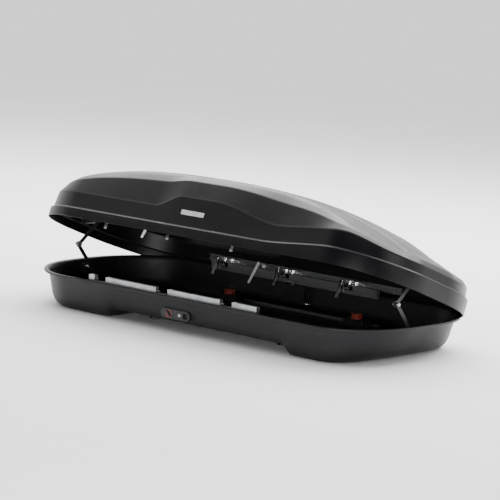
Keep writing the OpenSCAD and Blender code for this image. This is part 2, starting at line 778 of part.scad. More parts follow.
// Pivots as [y, z]: on the tray, at the elbow, and on the open lid.
base_pivot = [0, 75];
elbow = [-105, 205];
lid_pivot_open = [20, 305];
lifter_x = [120 - lid_half.x, lid_half.x - 90];   // plane between the two arms, tail and nose
arm_t = 6;                           // thickness of the arms
arm_half = 9;                        // half width of the arms
pivot_r = 5;                         // radius of the pivot pins
elbow_play = 4.4;                    // clearance of the elbow pin in the upper arm

// Turns a [y, z] point of the open lid back to where it is on the closed lid.
function closed_point(p) =
    let (dy = p.x - hinge.x, dz = p.y - hinge.y)
    [hinge.x + dy * cos(lid_open) - dz * sin(lid_open), hinge.y + dy * sin(lid_open) + dz * cos(lid_open)];
lid_pivot = closed_point(lid_pivot_open);

// Flat bar in the plane of the arms from pivot a to pivot b, between two X positions.
module arm_bar(a, b, x0, half) {
    translate([x0, 0, 0])
        rotate([90, 0, 90])
            linear_extrude(arm_t)
                hull() {
                    translate(a) circle(half, $fn = 32);
                    translate(b) circle(half, $fn = 32);
                }
}

module pivot_hole(p, x0, r) {
    translate([x0 - 1, p.x, p.y]) rotate([0, 90, 0]) cylinder(h = arm_t + 2, r = r);
}

// end: 0 tail, 1 nose. The lower arm is nearer to the end wall at both ends.
function out_dir(end) = end == 0 ? -1 : 1;
function lower_x(end) = lifter_x[end] + (end == 0 ? -arm_t - 0.4 : 0.4);
function upper_x(end) = lifter_x[end] + (end == 0 ? 0.4 : -arm_t - 0.4);

module lower_arm(end) {
    color("#1b1b1c")
    difference() {
        arm_bar(base_pivot, elbow, lower_x(end), arm_half);
        pivot_hole(base_pivot, lower_x(end), pivot_r + run);
        pivot_hole(elbow, lower_x(end), pivot_r);
    }
}

module upper_arm(end) {
    color("#1b1b1c")
    difference() {
        union() {
            arm_bar(elbow, lid_pivot_open, upper_x(end), arm_half);
            translate([upper_x(end), elbow.x, elbow.y])
                rotate([0, 90, 0]) cylinder(h = arm_t, r = pivot_r + elbow_play + 6);
        }
        pivot_hole(elbow, upper_x(end), pivot_r + elbow_play);
        pivot_hole(lid_pivot_open, upper_x(end), pivot_r + run);
    }
}

// Elbow pin: fixed in the lower arm, with a wide head over the upper arm's large hole.
module elbow_pin(end) {
    inward = -out_dir(end);
    color("#b4b7bb")
    translate([lifter_x[end], elbow.x, elbow.y])
        rotate([0, inward * 90, 0]) {
            translate([0, 0, -arm_t - 10]) cylinder(h = 2 * arm_t + 11, r = pivot_r);
            translate([0, 0, arm_t + 0.9]) cylinder(h = 2.5, r = pivot_r + elbow_play + 5);
        }
}

// Torsion spring around the elbow pin, on the outer side of the lower arm.
module lifter_spring(end) {
    wire = 1.5;
    color("#c0c3c7")
    translate([lifter_x[end], elbow.x, elbow.y])
        rotate([0, out_dir(end) * 90, 0]) {
            for (i = [0:2]) {
                translate([0, 0, arm_t + 0.4 + wire * (1 + 1.9 * i)])
                    rotate_extrude() translate([pivot_r + wire + 0.4, 0]) circle(wire, $fn = 16);
            }
        }
}

end_wall_gap = 0.3;                  // gap between a bracket's foot and the end wall

bracket_w = 52;                      // width of a bracket's foot
foot_t = 5;                          // thickness of a bracket's foot

function end_reach(half, end) = half.x + out_dir(end) * nose_more;
function tray_end_x(end, z) =
    out_dir(end) * (end_reach(base_half, end) - wall_inset(end + 1, z) - end_wall_gap);

// Bracket on the tray's end wall: a foot that follows the wall, a lug, and the pivot pin.
module base_bracket(end) {
    z0 = base_pivot.y - 30;
    z1 = base_pivot.y + 24;
    out = out_dir(end);
    inner_x = lifter_x[end] + out * (arm_t + 1);
    color("#1d1d1f") {
        translate([0, base_pivot.x + bracket_w / 2, 0])
            rotate([90, 0, 0])
                linear_extrude(bracket_w)
                    polygon([[tray_end_x(end, z0), z0], [tray_end_x(end, z1), z1],
                        [tray_end_x(end, z1) - out * foot_t, z1], [tray_end_x(end, z0) - out * foot_t, z0]]);
        translate([0, base_pivot.x + 12, 0])
            rotate([90, 0, 0])
                linear_extrude(24)
                    polygon([[tray_end_x(end, z0 + 8) - out * 4, z0 + 8],
                        [tray_end_x(end, z1 - 8) - out * 4, z1 - 8],
                        [inner_x, base_pivot.y + arm_half], [inner_x, base_pivot.y - arm_half]]);
        translate([inner_x + out, base_pivot.x, base_pivot.y])
            rotate([0, -out * 90, 0]) {
                cylinder(h = arm_t + 4.5, r = pivot_r);
                translate([0, 0, arm_t + 2.5]) cylinder(h = 2.5, r = pivot_r + 3);
            }
    }
}

function lid_end_x(end, z) =
    let (
        reach = end_reach(lid_half, end),
        x = out_dir(end) * (reach - 20),
        step_z = rim + 18 + nose_rise(x) - sheet,
        belt_z = belt(x) - 2 - sheet,
        t = (z - step_z) / (belt_z - step_z))
    out_dir(end) * (reach - mix(12, end == 0 ? 20 : 18, t) - sheet - end_wall_gap);

// Bracket on the lid's end wall, drawn closed: a foot, a lug and the pivot pin.
module lid_bracket(end) {
    z0 = lid_pivot.y - 26;
    z1 = lid_pivot.y + 14;
    out = out_dir(end);
    inner_x = lifter_x[end] + (end == 0 ? -0.5 : 0.5);
    color("#1d1d1f")
    open_lid() {
        translate([0, lid_pivot.x + bracket_w / 2, 0])
            rotate([90, 0, 0])
                linear_extrude(bracket_w)
                    polygon([[lid_end_x(end, z0), z0], [lid_end_x(end, z1), z1],
                        [lid_end_x(end, z1) - out * foot_t, z1], [lid_end_x(end, z0) - out * foot_t, z0]]);
        translate([0, lid_pivot.x + 10, 0])
            rotate([90, 0, 0])
                linear_extrude(20)
                    polygon([[lid_end_x(end, z0) - out * 4, z0 + 4], [lid_end_x(end, z1) - out * 4, z1 - 2],
                        [inner_x, lid_pivot.y + 9], [inner_x, lid_pivot.y - 9]]);
        translate([inner_x + out, lid_pivot.x, lid_pivot.y])
            rotate([0, -out * 90, 0]) {
                cylinder(h = arm_t + 5, r = pivot_r);
                translate([0, 0, arm_t + 3]) cylinder(h = 2.5, r = pivot_r + 3);
            }
    }
}

base_shell();
floor_rails();
base_rivets();
latch_rail(-1);  // near_latch_rail
latch_rail(1);  // far_latch_rail
latch_bar(-1, latch_travel);  // near_latch_bar
latch_bar(1, 0);  // far_latch_bar
lock_bezel(-1);  // near_lock_bezel
lock_bezel(1);  // far_lock_bezel
lock_case(-1);  // near_lock_case
lock_case(1);  // far_lock_case
lock_knob(-1, -45);  // near_lock_knob
lock_knob(1, 45);  // far_lock_knob
knob_ring(-1);  // near_knob_ring
knob_ring(1);  // far_knob_ring
key_cylinder(-1);  // near_key_cylinder
key_cylinder(1);  // far_key_cylinder
clamp_saddles();
clamp_housing(clamp_places[0]);  // clamp_1_housing
clamp_housing(clamp_places[1]);  // clamp_2_housing
clamp_housing(clamp_places[2]);  // clamp_3_housing
clamp_housing(clamp_places[3]);  // clamp_4_housing
clamp_knob(clamp_places[0]);  // clamp_1_knob
clamp_knob(clamp_places[1]);  // clamp_2_knob
clamp_knob(clamp_places[2]);  // clamp_3_knob
clamp_knob(clamp_places[3]);  // clamp_4_knob
clamp_jaw(clamp_places[0]);  // clamp_1_jaw
clamp_jaw(clamp_places[1]);  // clamp_2_jaw
clamp_jaw(clamp_places[2]);  // clamp_3_jaw
clamp_jaw(clamp_places[3]);  // clamp_4_jaw
clamp_pad(clamp_places[0]);  // clamp_1_pad
clamp_pad(clamp_places[1]);  // clamp_2_pad
clamp_pad(clamp_places[2]);  // clamp_3_pad
clamp_pad(clamp_places[3]);  // clamp_4_pad
lid_shell();
lid_rivets();
lid_stiffener(-1);  // near_lid_stiffener
lid_stiffener(1);  // far_lid_stiffener
strikers(-1);  // near_strikers
strikers(1);  // far_strikers
guide_tongue(-1);  // near_guide_tongue
guide_tongue(1);  // far_guide_tongue
badge(-1);  // near_badge
badge(1);  // far_badge
base_bracket(0);  // rear_lifter_base_bracket
base_bracket(1);  // front_lifter_base_bracket
lower_arm(0);  // rear_lifter_lower_arm
lower_arm(1);  // front_lifter_lower_arm
elbow_pin(0);  // rear_lifter_elbow_pin
elbow_pin(1);  // front_lifter_elbow_pin
lifter_spring(0);  // rear_lifter_spring
lifter_spring(1);  // front_lifter_spring
upper_arm(0);  // rear_lifter_upper_arm
upper_arm(1);  // front_lifter_upper_arm
lid_bracket(0);  // rear_lifter_lid_bracket
lid_bracket(1);  // front_lifter_lid_bracket
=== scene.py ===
"""Looks of the roof cargo box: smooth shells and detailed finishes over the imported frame."""

import json
import math

import bpy
import numpy as np
from mathutils import Matrix, Vector


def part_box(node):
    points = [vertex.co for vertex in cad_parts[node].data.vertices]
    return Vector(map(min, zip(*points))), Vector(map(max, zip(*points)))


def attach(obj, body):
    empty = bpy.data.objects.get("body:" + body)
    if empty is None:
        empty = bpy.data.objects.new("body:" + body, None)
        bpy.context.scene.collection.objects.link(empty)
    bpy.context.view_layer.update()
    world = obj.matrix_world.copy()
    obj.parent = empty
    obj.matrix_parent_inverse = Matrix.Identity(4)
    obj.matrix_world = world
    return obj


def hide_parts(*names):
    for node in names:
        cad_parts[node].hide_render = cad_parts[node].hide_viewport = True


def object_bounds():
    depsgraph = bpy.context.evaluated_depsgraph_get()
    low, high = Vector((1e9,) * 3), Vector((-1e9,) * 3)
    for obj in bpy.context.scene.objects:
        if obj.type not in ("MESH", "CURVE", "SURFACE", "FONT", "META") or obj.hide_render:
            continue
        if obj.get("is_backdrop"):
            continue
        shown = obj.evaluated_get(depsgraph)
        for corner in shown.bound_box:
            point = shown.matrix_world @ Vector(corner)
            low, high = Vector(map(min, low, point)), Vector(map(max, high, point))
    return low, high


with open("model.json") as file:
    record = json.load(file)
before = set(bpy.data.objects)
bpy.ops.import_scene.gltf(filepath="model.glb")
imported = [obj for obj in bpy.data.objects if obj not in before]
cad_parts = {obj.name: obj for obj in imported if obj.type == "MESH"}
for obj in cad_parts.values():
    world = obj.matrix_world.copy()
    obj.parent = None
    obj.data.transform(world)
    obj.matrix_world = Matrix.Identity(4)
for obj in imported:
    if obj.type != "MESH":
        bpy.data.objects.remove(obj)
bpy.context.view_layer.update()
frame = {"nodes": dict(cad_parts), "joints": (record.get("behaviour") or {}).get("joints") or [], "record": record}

# ---------- Driving sizes, read from the frame ----------

tray_low, tray_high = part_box("base_shell")
lid_low, lid_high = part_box("lid_shell")
lid_joint = next(joint for joint in frame["joints"] if joint["name"] == "lid_hinge")

RIM = tray_high.z                    # height of the tray's rim
POD_DROP = -tray_low.z               # how far the pods reach below the middle section
SHEET = 0.0032                       # thickness of the moulded sheet
SKIRT_GAP = 0.007                    # gap between the lid's skirt and the tray's lip
# Reach of the outline at the side, tail and nose.
BASE_REACH = (tray_high.y, -tray_low.x, tray_high.x)
LID_REACH = (tray_high.y + SHEET + SKIRT_GAP, -lid_low.x, lid_high.x)
HINGE = lid_joint["pos_m"][1:]       # y and z of the axis that the lid turns about
LID_OPEN = -lid_joint["range_deg"][0]   # how far the frame shows the lid above closed

REAR_X = 0.330                       # length of the elliptical rear corners
REAR_Y = 0.400                       # width of the elliptical rear corners
NOSE_X = 0.290                       # length of the elliptical front corners
NOSE_Y = 0.370                       # width of the elliptical front corners
SHARP_ANGLE = math.radians(50)       # edges that turn more than this stay sharp


def smooth(t):
    """Eased step: 0 up to t = 0, 1 from t = 1."""
    u = np.clip(t, 0.0, 1.0)
    return u * u * (3 - 2 * u)


def mix(a, b, t):
    """Value between a and b, at share t of the way."""
    return a + (b - a) * t


# ---------- Outline shared by the tray and the lid ----------

CORNER_STEPS = 25                    # steps of each half corner, at the tail and at the nose
END_STEPS = 5                        # straight steps of half the tail and nose edge
STRAIGHT_STEPS = 84                  # straight steps of the long side
COLUMNS = 2 * (CORNER_STEPS + END_STEPS)
ROWS = CORNER_STEPS + STRAIGHT_STEPS + CORNER_STEPS


def tail_corner(angle, reach, inset):
    """Point on the near rear corner: 0 degrees faces the tail, 90 the long side."""
    turn = np.radians(angle)
    x = -(reach[1] - REAR_X) - (REAR_X - inset[1]) * np.cos(turn)
    y = -(reach[0] - REAR_Y) - (REAR_Y - inset[0]) * np.sin(turn)
    return np.stack([x, y], axis=1)


def nose_corner(angle, reach, inset):
    """Point on the near front corner: 0 degrees faces the long side, 90 the nose."""
    turn = np.radians(angle)
    x = reach[2] - NOSE_X + (NOSE_X - inset[2]) * np.sin(turn)
    y = -(reach[0] - NOSE_Y) - (NOSE_Y - inset[0]) * np.cos(turn)
    return np.stack([x, y], axis=1)


def outline(reach, inset):
    """Closed outline, anticlockwise from the near rear corner, at (side, tail, nose) insets."""
    rear_angles = np.linspace(45, 90, CORNER_STEPS, endpoint=False)
    straight_x = np.linspace(-(reach[1] - REAR_X), reach[2] - NOSE_X, STRAIGHT_STEPS + 1)
    nose_angles = np.linspace(0, 45, CORNER_STEPS + 1)[1:]
    straight = np.stack([straight_x, np.full_like(straight_x, -(reach[0] - inset[0]))], axis=1)
    side = np.concatenate([
        tail_corner(rear_angles, reach, inset),
        straight,
        nose_corner(nose_angles, reach, inset)])

    tail_y = np.linspace(-(reach[0] - REAR_Y), 0, END_STEPS + 1)
    tail = np.concatenate([
        tail_corner(np.linspace(45, 0, CORNER_STEPS, endpoint=False), reach, inset),
        np.stack([np.full_like(tail_y, -(reach[1] - inset[1])), tail_y], axis=1)])

    nose_y = np.linspace(-(reach[0] - NOSE_Y), 0, END_STEPS + 1)
    nose = np.concatenate([
        nose_corner(np.linspace(45, 90, CORNER_STEPS, endpoint=False), reach, inset),
        np.stack([np.full_like(nose_y, reach[2] - inset[2]), nose_y], axis=1)])

    far = np.array([1.0, -1.0])
    return np.concatenate([
        side,
        nose[1:],
        nose[-2::-1] * far,
        side[-2::-1] * far,
        tail[1:] * far,
        tail[-2:0:-1]])


# ---------- Shell meshes ----------

def toward(offset, reach):
    """The offset vectors cut down to the given reach, never past 45 percent of their length."""
    length = np.linalg.norm(offset, axis=1, keepdims=True)
    return offset * np.minimum(reach / np.maximum(length, 1e-9), 0.45)


def rounded_stack(rings, reaches, steps=4):
    """Turns each inner ring of the stack into a small curve from its lower to its upper side."""
    stack = [rings[0]]
    for before, corner, after, reach in zip(rings, rings[1:], rings[2:], reaches[1:]):
        start = corner + toward(before - corner, reach)
        end = corner + toward(after - corner, reach)
        for t in np.linspace(0, 1, steps + 1):
            stack.append((1 - t) ** 2 * start + 2 * t * (1 - t) * corner + t * t * end)
    stack.append(rings[-1])
    return stack


def shares(points):
    """Running length along the points, from 0 to 1."""
    length = np.concatenate([[0], np.cumsum(np.linalg.norm(np.diff(points, axis=0), axis=1))])
    return length / length[-1]


def patch(ring, height):
    """Inner points of the sheet spanned by a ring, as an array of ROWS + 1 by COLUMNS + 1."""
    flat = ring[:, :2]
    near = flat[:ROWS + 1]
    nose = flat[ROWS:ROWS + COLUMNS + 1]
    far = flat[ROWS + COLUMNS:2 * ROWS + COLUMNS + 1][::-1]
    tail = np.concatenate([flat[2 * ROWS + COLUMNS:], flat[:1]])[::-1]
    u = shares(near)[:, None, None]
    v = shares(nose)[None, :, None]
    xy = (1 - v) * near[:, None] + v * far[:, None] + (1 - u) * tail[None] + u * nose[None]
    xy -= (1 - u) * (1 - v) * near[0] + u * (1 - v) * near[-1]
    xy -= (1 - u) * v * far[0] + u * v * far[-1]
    return np.dstack([xy, height(xy[..., 0], xy[..., 1])])


def patch_indices(ring_start, inner_start):
    """Vertex number of each patch point: ring vertices at the border, inner ones elsewhere."""
    index = np.empty((ROWS + 1, COLUMNS + 1), int)
    index[:, 0] = ring_start + np.arange(ROWS + 1)
    index[-1, :] = ring_start + ROWS + np.arange(COLUMNS + 1)
    index[:, -1] = ring_start + 2 * ROWS + COLUMNS - np.arange(ROWS + 1)
    tail = ring_start + 2 * ROWS + 2 * COLUMNS - np.arange(1, COLUMNS)
    index[0, 1:-1] = tail
    index[1:-1, 1:-1] = inner_start + np.arange((ROWS - 1) * (COLUMNS - 1)).reshape(ROWS - 1, COLUMNS - 1)
    return index


def quads(index, flip):
    """Four-sided faces over a grid of vertex numbers, turned over on request."""
    corners = np.stack([index[:-1, :-1], index[1:, :-1], index[1:, 1:], index[:-1, 1:]], axis=-1)
    faces = corners.reshape(-1, 4)
    return faces[:, ::-1] if flip else faces


def shell_mesh(name, stack, first_height, last_height, first_up):
    """Closed sheet: a patch on the first ring, the wall through the stack, a patch on the last."""
    count = len(stack[0])
    last_start = (len(stack) - 1) * count
    first_inner = len(stack) * count
    last_inner = first_inner + (ROWS - 1) * (COLUMNS - 1)
    points = np.concatenate(stack + [
        patch(stack[0], first_height)[1:-1, 1:-1].reshape(-1, 3),
        patch(stack[-1], last_height)[1:-1, 1:-1].reshape(-1, 3)])
    wall = np.arange(first_inner).reshape(len(stack), count)
    wall = np.concatenate([wall, wall[:, :1]], axis=1)
    faces = np.concatenate([
        quads(patch_indices(0, first_inner), not first_up),
        quads(wall, True),
        quads(patch_indices(last_start, last_inner), first_up)])
    mesh = bpy.data.meshes.new(name)
    mesh.from_pydata(points.tolist(), [], faces.tolist())
    mesh.shade_smooth()
    mesh.set_sharp_from_angle(angle=SHARP_ANGLE)
    piece = bpy.data.objects.new(name, mesh)
    bpy.context.scene.collection.objects.link(piece)
    return piece


# ---------- Lid ----------

SHOULDER = 0.268                     # height of the shoulder over the rim at its peak
PEAK_X = 0.080                       # where the lid is highest
CROWN = 0.030                        # rise of the crowned top above the shoulder
CROWN_HALF = 0.360                   # half the width of the crowned top
TAIL_RUN = 0.890                     # length from the peak over which the shoulder falls to the tail
TAIL_FALL = 0.098                    # how far the shoulder falls over that length
NOSE_RUN = 0.860                     # the same length towards the nose
NOSE_FALL = 0.150                    # how far the shoulder falls over that length
SPINE_STEP = 0.012                   # height of the raised spine over the nose decks
SPINE_EDGE = 0.060                   # width of the slope at the spine's edge
BELT_LOW = 0.090                     # height of the crease over the rim, away from its hump
BELT_HUMP = 0.060                    # extra height of the crease beside the badge
HUMP_REAR = (-0.225, 0.155)          # where the hump rises, and over what length
HUMP_FRONT = (0.120, 0.400)          # where the hump falls, and over what length
NOSE_RISE = 0.028                    # rise of the step and the crease towards the nose
RISE_START = 0.420                   # where that rise starts
RISE_RUN = 0.430                     # length of that rise
BELT_DIP = 0.035                     # how far the crease drops at the tip of the nose
DIP_START = 0.850                    # where that drop starts
DIP_RUN = 0.200                      # length of that drop
BEVEL_START = 0.600                  # where the shoulder bevel starts to drop, at both ends
BEVEL_RUN = 0.350                    # length over which it drops


def shoulder(x):
    """Height of the shoulder over the rim."""
    tail = np.maximum(0, PEAK_X - x) / TAIL_RUN
    nose = np.maximum(0, x - PEAK_X) / NOSE_RUN
    return SHOULDER - TAIL_FALL * tail ** 2.7 - NOSE_FALL * nose ** 2.6


def nose_rise(x):
    """Rise of the lid's step and crease towards the nose."""
    return NOSE_RISE * smooth((x - RISE_START) / RISE_RUN)


def belt(x):
    """Height of the crease along the lid's wall."""
    hump = smooth((x - HUMP_REAR[0]) / HUMP_REAR[1]) - smooth((x - HUMP_FRONT[0]) / HUMP_FRONT[1])
    dip = smooth((x - DIP_START) / DIP_RUN)
    return RIM + BELT_LOW + BELT_HUMP * hump + nose_rise(x) - BELT_DIP * dip


def spine(x, y):
    """Height that the raised spine adds to the top, narrower and higher towards the nose."""
    half_width = mix(0.310, 0.130, smooth((x - 0.420) / 0.480))
    across = 1 - smooth((np.abs(y) - half_width + SPINE_EDGE / 2) / SPINE_EDGE)
    return SPINE_STEP * smooth((x - 0.330) / 0.420) * across


def lid_top(x, y):
    """Height of the lid's outer face inside the plateau's edge."""
    rise = CROWN - 0.010 * smooth((x - 0.300) / 0.500)
    crown = rise * (1 - np.minimum(1, np.abs(y) / CROWN_HALF) ** 2)
    return RIM + shoulder(x) + crown + spine(x, y)


def bevel_share(x, low):
    """Share of the height from crease to plateau at the shoulder bevel's lower or upper edge."""
    nose = smooth((x - BEVEL_START) / BEVEL_RUN)
    tail = smooth((-BEVEL_START - x) / BEVEL_RUN)
    if low:
        return 0.68 - 0.10 * nose - 0.12 * tail
    return 0.91 - 0.05 * nose - 0.06 * tail


PLATEAU = (0.095, 0.100, 0.100)      # insets of the edge of the crowned top
# Insets at (side, tail, nose), height rule, height, drop of the inner face, reach of the rounding.
LID_RINGS = (
    ((0.000, 0.000, 0.000), "rim", -0.030, 0.0, 0.0012),
    ((0.000, 0.000, 0.000), "step", 0.010, 0.0, 0.0030),
    ((0.003, 0.003, 0.003), "step", 0.014, SHEET, 0.0020),
    ((0.012, 0.012, 0.012), "step", 0.018, SHEET, 0.0030),
    ((0.018, 0.020, 0.018), "belt", -0.002, SHEET, 0.0020),
    ((0.021, 0.023, 0.0205), "belt", 0.005, SHEET, 0.0022),
    ((0.046, 0.058, 0.040), "low", 0.0, SHEET / 2, 0.0060),
    ((0.076, 0.080, 0.072), "high", 0.0, SHEET, 0.0070))
PLATEAU_REACH = 0.010                # rounding of the plateau's edge


def lid_ring(insets, rule, value, drop, inner):
    """One ring of the lid's wall, on its outer or its inner face."""
    if inner:
        insets = tuple(inset + SHEET for inset in insets)
    xy = outline(LID_REACH, insets)
    if rule == "rim":
        z = np.full(len(xy), RIM + value)
    elif rule == "step":
        z = RIM + value + nose_rise(xy[:, 0])
    elif rule == "belt":
        z = belt(xy[:, 0]) + value
    else:
        edge = outline(LID_REACH, PLATEAU)
        z = mix(belt(xy[:, 0]), lid_top(edge[:, 0], edge[:, 1]), bevel_share(edge[:, 0], rule == "low"))
    return np.column_stack([xy, z - (drop if inner else 0)])


def plateau_ring(extra, thickness):
    """Ring on the crowned top, inside the plateau's edge by extra and under its face by thickness."""
    xy = outline(LID_REACH, tuple(inset + extra for inset in PLATEAU))
    return np.column_stack([xy, lid_top(xy[:, 0], xy[:, 1]) - thickness])


def build_lid():
    """The lid as drawn closed, then turned about the hinge to the frame's open rest position."""
    outer = [lid_ring(*spec[:4], inner=False) for spec in LID_RINGS]
    inner = [lid_ring(*spec[:4], inner=True) for spec in LID_RINGS]
    reach = [spec[4] for spec in LID_RINGS]
    plateau = [plateau_ring(0, SHEET), plateau_ring(0, 0)]
    rest = [plateau_ring(0.020, SHEET), plateau_ring(0.020, 0)]
    rings = [rest[0], plateau[0]] + inner[::-1] + outer + [plateau[1], rest[1]]
    reaches = [0, PLATEAU_REACH] + reach[::-1] + reach + [PLATEAU_REACH, 0]
    piece = shell_mesh(
        "lid_skin",
        rounded_stack(rings, reaches),
        lambda x, y: lid_top(x, y) - SHEET,
        lid_top,
        first_up=False)
    pivot = Matrix.Translation((0, HINGE[0], HINGE[1]))
    piece.data.transform(pivot @ Matrix.Rotation(math.radians(-LID_OPEN), 4, "X") @ pivot.inverted())
    return piece


# ---------- Tray ----------

POD_REAR = -0.460                    # where the rear pod's ramp starts
POD_FRONT = 0.640                    # where the front pod's ramp ends
RAMP = 0.060                         # length of both ramps
NOSE_LIFT = 0.026                    # rise of the front pod's floor towards the nose
LIFT_START = 0.830                   # where that rise starts
LIFT_RUN = 0.160                     # length over which it reaches its full height
LIFT_MOST = NOSE_LIFT * 1.4          # the rise stops at this height
RIB = 0.0028                         # height of the pressed ribs in the rear pod's floor
RIB_PITCH = 0.060                    # distance of the ribs
RIB_REAR = -0.800                    # where the ribs end towards the tail
RIB_HALF = 0.270                     # half the width of the ribbed area
RIB_FADE = 0.030                     # length over which the ribs fade out


def floor_z(x):
    """Height of the tray's underside: flat in the middle, lower in both pods."""
    rear = 1 - smooth((x - POD_REAR) / RAMP)
    front = smooth((x - POD_FRONT + RAMP) / RAMP)
    lift = NOSE_LIFT * (np.maximum(0, x - LIFT_START) / LIFT_RUN) ** 2
    return -POD_DROP * np.maximum(rear, front) + np.minimum(lift, LIFT_MOST)


# Insets at (side, tail, nose), reference, height over it, reach of the rounding.
TRAY_OUTER = (
    ((0.072, 0.150, 0.120), "floor", 0.000, 0.008),
    ((0.054, 0.110, 0.095), "floor", 0.006, 0.010),
    ((0.042, 0.075, 0.074), "floor", 0.022, 0.010),
    ((0.035, 0.052, 0.058), "floor", 0.048, 0.012),
    ((0.022, 0.026, 0.028), "rim", -0.015, 0.001),
    ((0.020, 0.022, 0.023), "rim", -0.012, 0.001),
    ((0.003, 0.003, 0.003), "rim", -0.012, 0.002),
    ((0.000, 0.000, 0.000), "rim", -0.009, 0.002),
    ((0.000, 0.000, 0.000), "rim", -0.003, 0.002),
    ((0.003, 0.003, 0.003), "rim", 0.000, 0.002),
    ((0.016, 0.016, 0.017), "rim", 0.000, 0.003))
TRAY_INNER = (
    ((0.021 + SHEET / 4, 0.022 + SHEET / 4, 0.023 + SHEET / 4), "rim", -0.004, 0.003),
    ((0.022 + SHEET, 0.026 + SHEET, 0.028 + SHEET), "rim", -0.015, 0.003),
    ((0.035 + SHEET, 0.052 + SHEET, 0.058 + SHEET), "floor", 0.048, 0.012),
    ((0.042 + SHEET, 0.075 + SHEET, 0.074 + SHEET), "floor", 0.022 + SHEET / 2, 0.010),
    ((0.054 + SHEET / 2, 0.110 + SHEET / 2, 0.095 + SHEET / 2), "floor", 0.006 + SHEET * 0.9, 0.010),
    ((0.072, 0.150, 0.120), "floor", SHEET, 0.008))


def tray_ring(insets, reference, height):
    """One ring of the tray's wall, at a height over the rim or over the floor."""
    xy = outline(BASE_REACH, insets)
    level = np.full(len(xy), RIM) if reference == "rim" else floor_z(xy[:, 0])
    return np.column_stack([xy, level + height])


def floor_edge(height):
    """Ring a little inside the foot of the wall, where the flat floor takes over."""
    xy = outline(BASE_REACH, (0.092, 0.170, 0.140))
    return np.column_stack([xy, floor_z(xy[:, 0]) + height])


def ribbed_floor(x, y):
    """Upper face of the floor, with shallow ribs in the rear pod only."""
    in_rear = smooth((POD_REAR - RIB_FADE - x) / RIB_FADE) * smooth((x - RIB_REAR) / RIB_FADE)
    wave = np.abs(((y / RIB_PITCH + 0.5) % 1.0) - 0.5)
    ridge = smooth((0.20 - wave) / 0.12) * smooth((RIB_HALF - np.abs(y)) / RIB_FADE)
    return floor_z(x) + SHEET + RIB * ridge * in_rear


def build_tray():
    """The tray, before the lock and clamp openings are cut."""
    specs = TRAY_OUTER + TRAY_INNER
    rings = [floor_edge(0)] + [tray_ring(*spec[:3]) for spec in specs] + [floor_edge(SHEET)]
    reaches = [0] + [spec[3] for spec in specs] + [0]
    return shell_mesh(
        "tray_skin",
        rounded_stack(rings, reaches, steps=3),
        lambda x, y: floor_z(x),
        ribbed_floor,
        first_up=False)


BEZEL_ROOM = 0.0003                  # clearance of a lock bezel in its opening
CUTTER_REACH = 0.060                 # reach of a bezel's cutter to either side of the wall
SLOT_ROOM = 0.001                    # clearance across a jaw's slot
SLOT_AHEAD = 0.029                   # how far the slot goes past the jaw, for its travel
SLOT_LENGTH = 0.036                  # whole length of the slot


def oval_cutter(name):
    """Prism a little larger than a lock bezel, right through the side wall."""
    low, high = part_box(name)
    middle = (low + high) / 2
    radius = (high.z - low.z) / 2 + BEZEL_ROOM
    straight = (high.x - low.x) / 2 + BEZEL_ROOM - radius
    ring = []
    for side in (1, -1):
        for turn in np.linspace(-math.pi / 2, math.pi / 2, 33):
            ring.append((side * (straight + radius * math.cos(turn)), side * radius * math.sin(turn)))
    count = len(ring)
    points = [(middle.x + x, middle.y - CUTTER_REACH, middle.z + z) for x, z in ring]
    points += [(middle.x + x, middle.y + CUTTER_REACH, middle.z + z) for x, z in ring]
    faces = [list(range(count)), list(range(2 * count - 1, count - 1, -1))]
    faces += [[(i + 1) % count, i, count + i, count + (i + 1) % count] for i in range(count)]
    return cutter_object(points, faces)


def slot_cutter(name):
    """Box round the leg of a clamp jaw, with room for the jaw's travel."""
    low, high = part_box(name)
    housing_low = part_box(name.replace("jaw", "housing"))[0]
    y_span = (low.y - SLOT_ROOM, high.y + SLOT_ROOM)
    z_span = (-SLOT_ROOM, housing_low.z + SLOT_ROOM)
    front = high.x + SLOT_AHEAD
    corners = [(x, y, z) for x in (front - SLOT_LENGTH, front) for y in y_span for z in z_span]
    faces = [(0, 1, 3, 2), (4, 6, 7, 5), (0, 4, 5, 1), (2, 3, 7, 6), (0, 2, 6, 4), (1, 5, 7, 3)]
    return cutter_object(corners, faces)


def cutter_object(points, faces):
    """Closed mesh that cut() takes out of a piece."""
    mesh = bpy.data.meshes.new("cutter")
    mesh.from_pydata(points, [], faces)
    piece = bpy.data.objects.new("cutter", mesh)
    bpy.context.scene.collection.objects.link(piece)
    return piece


def cut(piece, cutters):
    """Cuts the openings out of the piece and removes the cutters."""
    for cutter in cutters:
        step = piece.modifiers.new("cut", "BOOLEAN")
        step.operation = "DIFFERENCE"
        step.solver = "EXACT"
        step.object = cutter
    depsgraph = bpy.context.evaluated_depsgraph_get()
    finished = bpy.data.meshes.new_from_object(piece.evaluated_get(depsgraph))
    piece.modifiers.clear()
    piece.data = finished
    finished.shade_smooth()
    finished.set_sharp_from_angle(angle=SHARP_ANGLE)
    for cutter in cutters:
        bpy.data.objects.remove(cutter)


# ---------- Finishes ----------

def add_node(tree, kind, inputs=None, **settings):
    """New shader node with its settings and its unlinked inputs filled in."""
    node = tree.nodes.new(kind)
    for key, value in settings.items():
        setattr(node, key, value)
    for socket, value in (inputs or {}).items():
        node.inputs[socket].default_value = value
    return node


def noise(tree, place, scale, detail=3.0, roughness=0.55, stretch=(1, 1, 1)):
    """Noise of about 1 / scale metres, stretched along the axes given less than 1."""
    mapping = add_node(tree, "ShaderNodeMapping", {"Scale": stretch})
    texture = add_node(tree, "ShaderNodeTexNoise", {"Scale": scale, "Detail": detail, "Roughness": roughness})
    tree.links.new(place, mapping.inputs["Vector"])
    tree.links.new(mapping.outputs["Vector"], texture.inputs["Vector"])
    return texture.outputs["Fac"]


